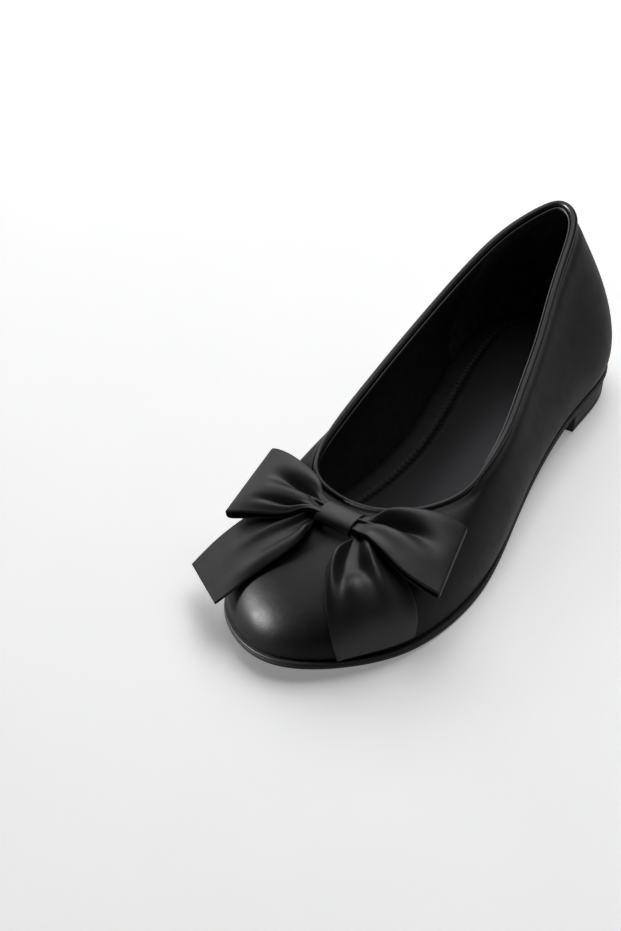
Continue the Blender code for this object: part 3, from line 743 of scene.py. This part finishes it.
def swept_oval(centre, across, rise, width, height):
    """Rings of an oval swept round a closed line; width and height may change along it."""
    turns = even_samples(BEAD_SIDES) * 2 * math.pi
    return np.array([centre + across * (math.cos(turn) * width / 2)
                     + rise * (math.sin(turn) * height / 2) for turn in turns])


def build_binding(leather, edge_leather):
    """The rolled bead with its faint puckers, and the lining's folded edge just inside it."""
    centre, across, rise = topline(BEAD_AROUND)
    run, length = loop_run(centre)
    pitch = length / round(length / BEAD_PITCH)
    pucker = BEAD_PUCKER * np.cos(2 * math.pi * run / pitch)[:, None]
    bead = swept_oval(centre + across * BEAD_OUT, across, rise, BEAD_WIDTH + pucker,
                      BEAD_HEIGHT + pucker)
    add_piece("binding_bead", *closed_grid(bead), [leather], "leather_binding", "topline_binding")
    seat = centre - across * (LINING_EDGE_IN - BEAD_OUT) - rise * LINING_EDGE_WIDTH / 2
    inner = swept_oval(seat, across, rise, LINING_EDGE_WIDTH, LINING_EDGE_WIDTH * 2)
    add_piece("lining_edge", *closed_grid(inner), [edge_leather], "leather_binding")


def sock_ring(inset, height):
    """A ring of the insole: inset from the upper's inner face, height above the outsole."""
    edge = sole_edge(even_samples(SOCK_AROUND))
    margin = sole_margin(station_of(edge[:, 1])) + WALL + INSOLE_CLEARANCE + inset
    plan = edge - outward(edge) * margin[:, None]
    return np.column_stack([plan, foot_height(station_of(plan[:, 1])) + height])


def build_insole(leather, thread):
    """The sock: a flat rim, the sunk seam with its puckers, and a padded middle crowned across."""
    station = station_of(sole_edge(even_samples(SOCK_AROUND))[:, 1])
    rim = between(INSOLE_RIM_HEEL, INSOLE_RIM, ramp(station, 0.0, INSOLE_RIM_FULL_AT))
    thick = between(INSOLE_HEEL_THICKNESS, INSOLE_TOE_THICKNESS, ramp(station, ARCH_START, BALL_START))
    seam_line = sock_ring(rim, thick)
    run, length = loop_run(seam_line)
    pitch = length / round(length / PUCKER_PITCH)
    wave = np.cos(2 * math.pi * run / pitch)

    def surface(past):
        """Height at a distance past the seam, towards the middle, and before it where below 0."""
        pad = INSOLE_PAD_RISE * ramp(past, 0.0, 3 * SEAM_WIDTH)
        seam = -SEAM_DEPTH * bell(past, SEAM_WIDTH)
        puckers = PUCKER_RISE * wave * bell(past, PUCKER_REACH)
        return thick + pad + seam + puckers * np.where(past < 0, PUCKER_ON_RIM, 1.0)

    rings = [sock_ring(0.0, 0.0), sock_ring(0.0, thick - SEAM_WIDTH / 2),
             sock_ring(SEAM_WIDTH / 2, thick)]
    rings += [sock_ring(rim * share, surface(-rim * (1 - share))) for share in RIM_RINGS]
    for past in np.linspace(*SEAM_SPAN, SEAM_RINGS) * SEAM_WIDTH:
        rings.append(sock_ring(rim + past, surface(past)))
    last = rings[-1]
    half = SOCK_AROUND // 2 + 1
    mirror = np.roll(last[::-1], 1, axis=0)
    ribs = shares(SOCK_RIBS + 1)[1:-1, None, None]
    middle = last[:half] * (1 - ribs) + mirror[:half] * ribs
    middle[:, :, 2] += SOCK_CROWN * (4 * ribs * (1 - ribs))[:, :, 0]
    near, far = ring_halves((len(rings) - 1) * SOCK_AROUND, SOCK_AROUND)
    rows = numbered_rows(len(rings) * SOCK_AROUND, len(middle), half)
    faces = (strip_faces(ring_halves(0, SOCK_AROUND)) + stack_faces(len(rings), SOCK_AROUND)
             + strip_faces([near, *rows, far]))
    points = np.concatenate(rings + [middle.reshape(-1, 3)])
    add_piece("insole_sock", points, faces, [leather], "insole_lining", "insole")
    build_stitches(seam_line, run, pitch, thread)


def from_lowest(corners):
    """A face's corners in the same turn, starting at the lowest number."""
    start = corners.index(min(corners))
    return corners[start:] + corners[:start]


def build_stitches(line, run, pitch, thread):
    """One short slanted stitch at each pucker of the insole's seam, as one piece."""
    stitch = bmesh.new()
    bmesh.ops.create_uvsphere(stitch, u_segments=8, v_segments=6, radius=STITCH_WIDTH / 2)
    verts = sorted(stitch.verts, key=lambda vert: [round(value, 6) for value in vert.co])
    number_of = {vert: number for number, vert in enumerate(verts)}
    shape = np.array([vert.co[:] for vert in verts])
    shape[:, 2] *= STITCH_LENGTH / STITCH_WIDTH
    pattern = sorted(from_lowest([number_of[vert] for vert in face.verts]) for face in stitch.faces)
    stitch.free()
    tangent = unit(run_round(line))
    points, faces = [], []
    for number in range(round((run[-1] + run[1]) / pitch)):
        i = int(np.searchsorted(run, (number + 0.5) * pitch)) % len(line)
        ahead = tangent[i]
        side = np.array([-ahead[1], ahead[0], 0.0])
        lean = unit(ahead * STITCH_AHEAD + side * STITCH_ASIDE)
        flat = unit(np.cross((0, 0, 1.0), lean))
        seat = line[i] + np.array([0, 0, -SEAM_DEPTH + STITCH_WIDTH / 2])
        base = len(points) * len(shape)
        points.append(seat + shape[:, :1] * flat + shape[:, 1:2] * np.cross(lean, flat)
                      + shape[:, 2:] * lean)
        faces += [tuple(base + corner for corner in face) for face in pattern]
    add_piece("insole_stitches", np.concatenate(points), faces, [thread], "insole_lining")


def build_outsole(rubber):
    """The outsole with a rounded lower edge and a fine groove round its side."""
    rings = []
    for inset, height in SOLE_PROFILE:
        plan = sole_edge(even_samples(SOLE_AROUND), inset)
        level = sole_underside(station_of(plan[:, 1])) + height * OUTSOLE_THICKNESS
        rings.append(np.column_stack([plan, level]))
    add_piece("outsole_rubber", *stacked_rings(rings), [rubber], "sole_rubber", "outsole")


def heel_ring(inset):
    """Plan of the heel block: the sole's edge round the back, closed by a hollow breast line."""
    breast_y = along(HEEL_LENGTH / LENGTH)
    fine = sole_edge(even_samples(SOLE_AROUND * 2), inset)
    half = len(fine) // 2
    sides = []
    for side in (fine[:half], np.roll(fine[::-1], 1, axis=0)[:half]):
        corner = [np.interp(breast_y, side[::-1, 1], side[::-1, 0]), breast_y]
        path = np.vstack([side[side[:, 1] > breast_y], corner])
        reach = run_along(path[:, None])[:, 0]
        wanted = np.linspace(0.0, reach[-1], HEEL_SIDE)
        sides.append(np.column_stack([np.interp(wanted, reach, axis) for axis in path.T]))
    share = shares(HEEL_BREAST)[1:-1]
    breast = between(sides[0][-1], sides[1][-1], share[:, None])
    breast[:, 1] += HEEL_BREAST_HOLLOW * 4 * share * (1 - share)
    return np.vstack([sides[0], breast, sides[1][:0:-1]])


def build_heel(rubber):
    """The heel block, with the line of its top lift near the ground."""
    taper = HEEL_TAPER / HEEL_HEIGHT
    rings = []
    for inset, height in HEEL_PROFILE:
        plan = heel_ring(HEEL_INSET + taper * (HEEL_HEIGHT - height) + inset)
        rings.append(np.column_stack([plan, np.full(len(plan), height)]))
    piece = add_piece("heel_stack", *stacked_rings(rings), [rubber], "heel_block", "heel")
    piece.data.set_sharp_from_angle(angle=HEEL_SHARP_ANGLE)


def bow_frame(outer, tree):
    """Where the bow sits on the vamp: its middle, and its axes lateral, toward the toe and up."""
    throat = outer[-1][outer[-1, :, 1].argmin()]
    place = Vector((BOW_SIDE + throat[0], throat[1] - BOW_AHEAD, COLLAR_HEIGHT))
    seat, normal = tree.ray_cast(place, Vector((0.0, 0.0, -1.0)))[:2]
    up = np.array(normal)
    lateral = np.array([math.cos(BOW_TURN), math.sin(BOW_TURN), 0.0])
    lateral = unit(lateral - up * (lateral @ up))
    return np.array(seat), np.stack([lateral, np.cross(lateral, up), up])


def grid_tree(grid, faces):
    """A grid's surface, for finding where something laid on it touches."""
    return BVHTree.FromPolygons([Vector(point) for point in grid.reshape(-1, 3)], faces)


def layer(number):
    """Height of the middle of a ribbon in the knot's stack, from 0, the knot's own underside."""
    return GAP + RIBBON / 2 + number * (RIBBON + GAP)


def open_curve(points, count):
    """Evenly numbered samples of a smooth curve through points."""
    place = np.linspace(0.0, len(points) - 1, count)
    cell = np.minimum(place.astype(int), len(points) - 2)
    part = (place - cell).reshape(-1, *([1] * (points.ndim - 1)))
    slope = np.gradient(points, axis=0)
    near, far = points[cell], points[cell + 1]
    return (near * (1 + 2 * part) * (1 - part) ** 2 + slope[cell] * part * (1 - part) ** 2
            + far * part ** 2 * (3 - 2 * part) - slope[cell + 1] * part ** 2 * (1 - part))


def surface_normals(middle, closed_along):
    """Unit normals of a ribbon's middle surface."""
    run = run_round(middle) if closed_along else np.gradient(middle, axis=0)
    return unit(np.cross(run, np.gradient(middle, axis=1)))


def ribbon_surface(rear, front, lift, bow):
    """Middle surface between a ribbon's two edges, given in the bow's frame, lifted by a profile."""
    seat, axes = bow
    share = shares(RIBBON_ACROSS)[None, :, None]
    flat = rear[:, None] * (1 - share) + front[:, None] * share
    flat[:, :, 2] += lift
    return seat + flat @ axes


def laid_on(tree, middle, clearance):
    """The surface with each point too near the vamp, or inside it, moved out to its row's clearance."""
    out = middle.copy()
    for index in np.ndindex(middle.shape[:2]):
        point = Vector(middle[index])
        seat, normal = tree.find_nearest(point)[:2]
        wanted = clearance[index[0]]
        if (point - seat).dot(normal) < wanted:
            out[index] = seat + normal * wanted
    return out


def taut(heights, runs):
    """A height profile pulled straight over its hollows, as a ribbon under light tension lies."""
    hull = []
    for point in zip(runs, heights):
        while len(hull) > 1:
            (a_run, a_height), (b_run, b_height) = hull[-2:]
            if (b_height - a_height) * (point[0] - a_run) > (point[1] - a_height) * (b_run - a_run):
                break
            hull.pop()
        hull.append(point)
    hull = np.array(hull)
    return np.interp(runs, hull[:, 0], hull[:, 1])


def pulled_taut(surface, bow):
    """Each tail, in the bow's frame, pulled straight from where it leaves the vamp to its cut end."""
    seat, axes = bow
    local = (surface - seat) @ axes.T
    half = TAIL_ALONG // 2
    for side in (np.arange(half, TAIL_ALONG), np.arange(half - 1, -1, -1)):
        part = local[side]
        runs = run_along(part[:, :, :2])
        for column in range(RIBBON_ACROSS):
            part[:, column, 2] = taut(part[:, column, 2], runs[:, column])
        for _ in range(TAIL_SMOOTHING):
            part[1:-1] = (part[:-2] + part[1:-1] * 2 + part[2:]) / 4
        local[side] = part
    return local


def ribbon_edges(table, reach, width, rise):
    """A ribbon's rear and front edge in the bow's frame, its sections' shares turned into lengths."""
    column = columns(table, RIBBON_COLUMNS)
    return [np.column_stack([column[edge + "_out"] * reach, column[edge + "_ahead"] * width,
                             column[edge + "_up"] * rise]) for edge in ("rear", "front")]


def loop_side(table, reach):
    """Rear and front edge of one loop, from the knot over the top and back underneath."""
    edges = ribbon_edges(table, reach, LOOP_WIDTH, LOOP_RISE)
    for edge in edges:
        edge[0, 2] = layer(3)
        edge[-1, 2] = layer(2)
    return edges


def open_tree(grid):
    """A ribbon's surface, widened a little at both sides, for finding where another rests on it."""
    wide = np.concatenate([grid[:, :1] * 2 - grid[:, 1:2], grid,
                           grid[:, -1:] * 2 - grid[:, -2:-1]], axis=1)
    return grid_tree(wide, strip_faces(numbered_rows(0, *wide.shape[:2])))


def spread_lift(lift):
    """A lift over a closed band, carried on to its neighbours and smoothed."""
    for _ in range(LIFT_SPREAD):
        lift = np.maximum(lift, np.maximum(np.roll(lift, 1, axis=0), np.roll(lift, -1, axis=0)))
        lift[:, 1:] = np.maximum(lift[:, 1:], lift[:, :-1])
        lift[:, :-1] = np.maximum(lift[:, :-1], lift[:, 1:])
    for _ in range(LIFT_SMOOTHING):
        lift = (np.roll(lift, 1, axis=0) + lift * 2 + np.roll(lift, -1, axis=0)) / 4
        padded = np.pad(lift, ((0, 0), (1, 1)), mode="edge")
        lift = (padded[:, :-2] + padded[:, 1:-1] * 2 + padded[:, 2:]) / 4
    return lift


def raised(middle, below, clearance, up):
    """The closed band lifted softly where it comes nearer than clearance to the surface below."""
    lacking = np.zeros(middle.shape[:2])
    for index in np.ndindex(middle.shape[:2]):
        if clearance[index[0]] <= 0:
            continue
        start = Vector(middle[index] + up * LOOP_WIDTH)
        seat, normal = below.ray_cast(start, Vector(-up))[:2]
        if seat is None:
            continue
        slope = max(abs(normal.dot(Vector(up))), LEAST_SLOPE)
        wanted = clearance[index[0]] / slope
        lacking[index] = max(wanted - (middle[index] - np.array(seat)) @ up, 0.0)
    return middle + spread_lift(lacking)[:, :, None] * up


def ribbon_piece(name, middle, closed_along, leather, cut_edge, node):
    """A ribbon of leather round its middle surface, with rounded cut edges of their own colour."""
    normals = surface_normals(middle, closed_along)
    front = middle[:, -1:] + unit(middle[:, -1:] - middle[:, -2:-1]) * RIBBON / 2
    rear = middle[:, :1] + unit(middle[:, :1] - middle[:, 1:2]) * RIBBON / 2
    above = middle + normals * RIBBON / 2
    below = middle - normals * RIBBON / 2
    rings = np.concatenate([above, front, below[:, ::-1], rear], axis=1)
    rows, count = rings.shape[:2]
    across = middle.shape[1]
    strip = np.zeros(count, int)
    strip[[across - 1, across, count - 2, count - 1]] = 1
    faces = closed_grid(rings)[1] if closed_along else stack_faces(rows, count)
    slots = strip.tolist() * (len(faces) // count)
    if not closed_along:
        for base in (0, (rows - 1) * count):
            faces += strip_faces([range(base, base + across),
                                  range(base + 2 * across, base + across, -1)])
            faces += [(base + across - 1, base + across, base + across + 1),
                      (base + count - 2, base + count - 1, base)]
            slots += [1] * (across + 1)
    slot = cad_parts[node].data.materials[0].name
    return add_piece(name, rings.reshape(-1, 3), faces, [leather, cut_edge], slot, node, slots)


def folds(table, run, across):
    """Lift of a table of folds at each run from the knot and place across, as a share of LOOP_RISE."""
    lift = np.zeros((len(run), len(across)))
    run = run[:, None]
    for row in table:
        fold = dict(zip(FOLD_COLUMNS, row))
        share = np.clip((run - fold["starts"]) / (fold["ends"] - fold["starts"]), 0.0, 1.0)
        middle = between(fold["knot_at"], fold["end_at"], share)
        half = between(fold["knot_half"], fold["end_half"], share)
        rising = ramp(run, fold["starts"], fold["peaks"])
        falling = 1 - ramp(run, fold["peaks"], fold["ends"])
        lift += fold["height"] * rising * falling * bell(across[None, :] - middle, half)
    return lift


def out_over(row, rows, turn_at):
    """How far each row of the band lies out on a loop's top, from the knot (0) to its fold (1)."""
    return np.where(row > rows - 1, row - rows, np.minimum(row, turn_at)) / turn_at


def out_under(row, turn_at):
    """How far each row lies out on a loop's bottom, from its fold (1) back to the knot (0)."""
    return np.minimum(2 * turn_at - row, turn_at) / turn_at


def build_loops(bow, vamp, tails, leather, cut_edge):
    """Both loops as one band: over the top to each fold, and back underneath through the knot. The
    bottom lies on the vamp and the tails, and the top on the bottom."""
    profile = np.column_stack([LOOP_CROWN, LOOP_CREASE]) * LOOP_RISE
    lateral = [*loop_side(LOOP_LATERAL, LOOP_REACH_LATERAL), profile]
    medial = [*loop_side(LOOP_MEDIAL, -LOOP_REACH_MEDIAL), profile]
    rows = 2 * len(profile)
    samples = even_samples(LOOP_ALONG)
    rear, front, profile = [
        periodic_curve(np.arange(rows + 1) / rows, np.concatenate([a, b[::-1]]), samples)
        for a, b in zip(lateral, medial)]
    share = shares(RIBBON_ACROSS)
    lift = (profile[:, :1] * 4 * share * (1 - share)
            - profile[:, 1:] * np.sin(2 * math.pi * share) ** 2)
    turn_at = len(LOOP_LATERAL) // 2
    row = samples * rows
    from_medial = rows - 1 - row
    over_lateral, over_medial = [out_over(start, rows, turn_at) for start in (row, from_medial)]
    lift += LOOP_RISE * folds(LATERAL_LOOP_FOLDS, over_lateral, share)
    lift += LOOP_RISE * folds(MEDIAL_LOOP_FOLDS, over_medial, share)
    nested = (folds(LATERAL_LOOP_FOLDS, out_under(row, turn_at), share)
              + folds(MEDIAL_LOOP_FOLDS, out_under(from_medial, turn_at), share))
    below = (row > turn_at) & (row < rows - 1 - turn_at)
    lift += LOOP_RISE * NESTED_SHARE * np.minimum(nested, 0.0) * below[:, None]
    middle = ribbon_surface(rear, front, lift, bow)
    up = bow[1][2]
    middle = raised(middle, vamp, np.where(below, RIBBON / 2 + LAID_GAP, 0.0), up)
    middle = raised(middle, open_tree(tails), np.where(below, RIBBON, 0.0), up)
    parting = np.clip((1 - np.minimum(over_lateral, over_medial)) / PARTING_SHARE, 0.0, 1.0)
    parting[row > rows - 1] = 1.0
    middle = raised(middle, open_tree(middle[below]), np.where(below, 0.0, RIBBON * parting), up)
    return ribbon_piece("loops_ribbon", middle, True, leather, cut_edge, "bow_loops")


def tails_surface(bow, tree):
    """Both tails as one ribbon: from the lateral end up through the knot and down to the medial end."""
    ends = zip(ribbon_edges(TAIL_LATERAL, TAIL_LENGTH, TAIL_LENGTH, -TAIL_DROP),
               ribbon_edges(TAIL_MEDIAL, -TAIL_LENGTH, TAIL_LENGTH, -TAIL_DROP))
    rear, front = [open_curve(np.concatenate([a[::-1], b]), TAIL_ALONG) for a, b in ends]
    run = np.linspace(-1.0, 1.0, TAIL_ALONG)
    share = shares(RIBBON_ACROSS)
    lift = (folds(LATERAL_TAIL_FOLDS, np.clip(-run, 0.0, 1.0), share)
            + folds(MEDIAL_TAIL_FOLDS, np.clip(run, 0.0, 1.0), share))
    middle = ribbon_surface(rear, front, 0.0, bow)
    in_knot = 1 - ramp(np.abs(run), TAIL_IN_KNOT, 2 * TAIL_IN_KNOT)
    level = RIBBON / 2 + LAID_GAP + (layer(1) - layer(0)) * in_knot
    local = pulled_taut(laid_on(tree, middle, level), bow)
    local[:, :, 2] += LOOP_RISE * lift
    seat, axes = bow
    return seat + local @ axes


def build_knot(bow, leather, cut_edge):
    """A band wrapped right round the gathered ribbons, a rounded oblong from the bow's end."""
    seat, (lateral, ahead, up) = bow
    low, high = layer(0), layer(4)
    turns = even_samples(KNOT_ROUND) * 2 * math.pi
    across, upward = [np.sign(wave) * np.abs(wave) ** (2 / KNOT_SQUARENESS)
                      for wave in (np.cos(turns), np.sin(turns))]
    depth = across * (KNOT_DEPTH - RIBBON) / 2
    height = (low + high) / 2 + upward * (high - low) / 2
    sides = np.linspace(-KNOT_WIDTH / 2, KNOT_WIDTH / 2, KNOT_ALONG)
    middle = (seat + sides[None, :, None] * lateral + depth[:, None, None] * ahead
              + height[:, None, None] * up)
    return ribbon_piece("knot_band", middle, True, leather, cut_edge, "bow_knot")


def build_bow(leather, cut_edge):
    """The tails laid on the vamp, the loops over them and the knot round both."""
    outer = wall_outer(AROUND, UP_WALL)
    vamp = grid_tree(outer, [face[::-1] for face in stack_faces(*outer.shape[:2])])
    bow = bow_frame(outer, vamp)
    surface = tails_surface(bow, vamp)
    tails = ribbon_piece("tails_ribbon", surface, False, leather, cut_edge, "bow_tails")
    loops = build_loops(bow, vamp, surface, leather, cut_edge)
    knot = build_knot(bow, leather, cut_edge)
    return tails, loops, knot


def bearing(around, above):
    """Unit vector at an angle round the shoe from the toe towards the lateral side, and a height."""
    level = math.cos(above)
    return Vector((math.sin(around) * level, -math.cos(around) * level, math.sin(above)))


def add_camera():
    """The camera of the photograph's view."""
    back = bearing(CAMERA_AZIMUTH, CAMERA_ELEVATION)
    level = Vector((math.cos(CAMERA_AZIMUTH), math.sin(CAMERA_AZIMUTH), 0.0))
    upright = back.cross(level)
    right = math.cos(CAMERA_ROLL) * level + math.sin(CAMERA_ROLL) * upright
    up = -math.sin(CAMERA_ROLL) * level + math.cos(CAMERA_ROLL) * upright
    lens = bpy.data.cameras.new("photo_camera")
    lens.sensor_fit = "VERTICAL"
    lens.sensor_height = SENSOR
    lens.lens = CAMERA_FOCAL_PIXELS / PHOTO_HEIGHT * SENSOR
    camera = add_object("photo_camera", lens)
    turn = Matrix((right, up, back)).transposed().to_4x4()
    camera.matrix_world = Matrix.Translation(CAMERA_TARGET + back * CAMERA_DISTANCE) @ turn
    bpy.context.scene.camera = camera


def add_softbox(name, azimuth, elevation, distance, size, power):
    """A square area light aimed at the shoe, placed by its bearing and height like the camera."""
    back = bearing(math.radians(azimuth), math.radians(elevation))
    light = bpy.data.lights.new(name, "AREA")
    light.shape = "SQUARE"
    light.size = size
    light.energy = power
    lamp = add_object(name, light)
    lamp.location = Vector((0.0, along(0.5), 0.0)) + back * distance
    lamp.rotation_euler = back.to_track_quat("Z", "Y").to_euler()
    return lamp


def add_floor():
    """A wide sheet that the shoe stands on."""
    corners = [(x * FLOOR_HALF, y * FLOOR_HALF, 0) for x, y in ((-1, -1), (1, -1), (1, 1), (-1, 1))]
    mesh = bpy.data.meshes.new("floor")
    mesh.from_pydata(corners, [], [(0, 1, 2, 3)])
    mesh.materials.append(pale_floor("floor_paper"))
    floor = add_object("floor", mesh)
    return floor


def add_studio(unlit_pieces):
    """The softboxes, and the side lamps, which are kept off some pieces."""
    world = bpy.data.worlds.new("studio")
    world.use_nodes = True
    world.node_tree.nodes["Background"].inputs["Color"].default_value = (0.0, 0.0, 0.0, 1.0)
    scene = bpy.context.scene
    scene.world = world
    scene.view_settings.view_transform = "Standard"
    scene.view_settings.gamma = VIEW_GAMMA
    for lamp in SOFTBOXES:
        add_softbox(*lamp)
    unlit = bpy.data.collections.new("not_lit_by_side_lamps")
    for piece in unlit_pieces:
        unlit.objects.link(piece)
    for lamp in SIDE_LAMPS:
        add_softbox(*lamp).light_linking.receiver_collection = unlit
    for member in unlit.collection_objects:
        member.light_linking.link_state = "EXCLUDE"


calf = smooth_leather("calf_black", (0.0055, 0.0055, 0.0062), (0.0080, 0.0080, 0.0089), 0.43, 0.50,
                      shine=0.23)
# The bow is the same black calf as the upper, but its colour is painted lighter and given more shine.
# This stands in for the light of the side lamps, which are kept off the bow.
bow_calf_painted_lighter = smooth_leather("bow_black_painted_lighter", (0.021, 0.021, 0.023), (0.028, 0.028, 0.031), 0.48, 0.54,
                          shine=0.80)
bead_calf = smooth_leather("binding_calf_black", (0.008, 0.008, 0.0088), (0.011, 0.011, 0.012),
                           0.36, 0.42, grain=0.6, shine=0.36)
ribbon_edge = smooth_leather("ribbon_cut_edge", (0.030, 0.030, 0.032), (0.048, 0.048, 0.051),
                             0.52, 0.62)
lining_calf = smooth_leather("lining_edge_calf", (0.030, 0.030, 0.033), (0.045, 0.045, 0.049),
                             0.42, 0.50)
lining = nubuck("lining_black", (0.018, 0.018, 0.021), (0.028, 0.028, 0.032))
grip = nubuck("heel_grip_black", (0.025, 0.025, 0.027), (0.075, 0.075, 0.078))
sock = sock_leather("sock_black", (0.017, 0.017, 0.020), (0.025, 0.025, 0.029))
thread = smooth_leather("sock_thread", (0.010, 0.010, 0.012), (0.016, 0.016, 0.018), 0.55, 0.70)
rubber = sole_rubber("outsole_black", (0.007, 0.007, 0.007), (0.012, 0.011, 0.011), 0.55)
heel_rubber = sole_rubber("heel_black", (0.012, 0.011, 0.011), (0.020, 0.018, 0.018), 0.55)

build_upper(calf, lining, grip)
build_binding(bead_calf, lining_calf)
build_insole(sock, thread)
build_outsole(rubber)
build_heel(heel_rubber)
bow_pieces = build_bow(bow_calf_painted_lighter, ribbon_edge)
add_studio([add_floor(), *bow_pieces])
add_camera()
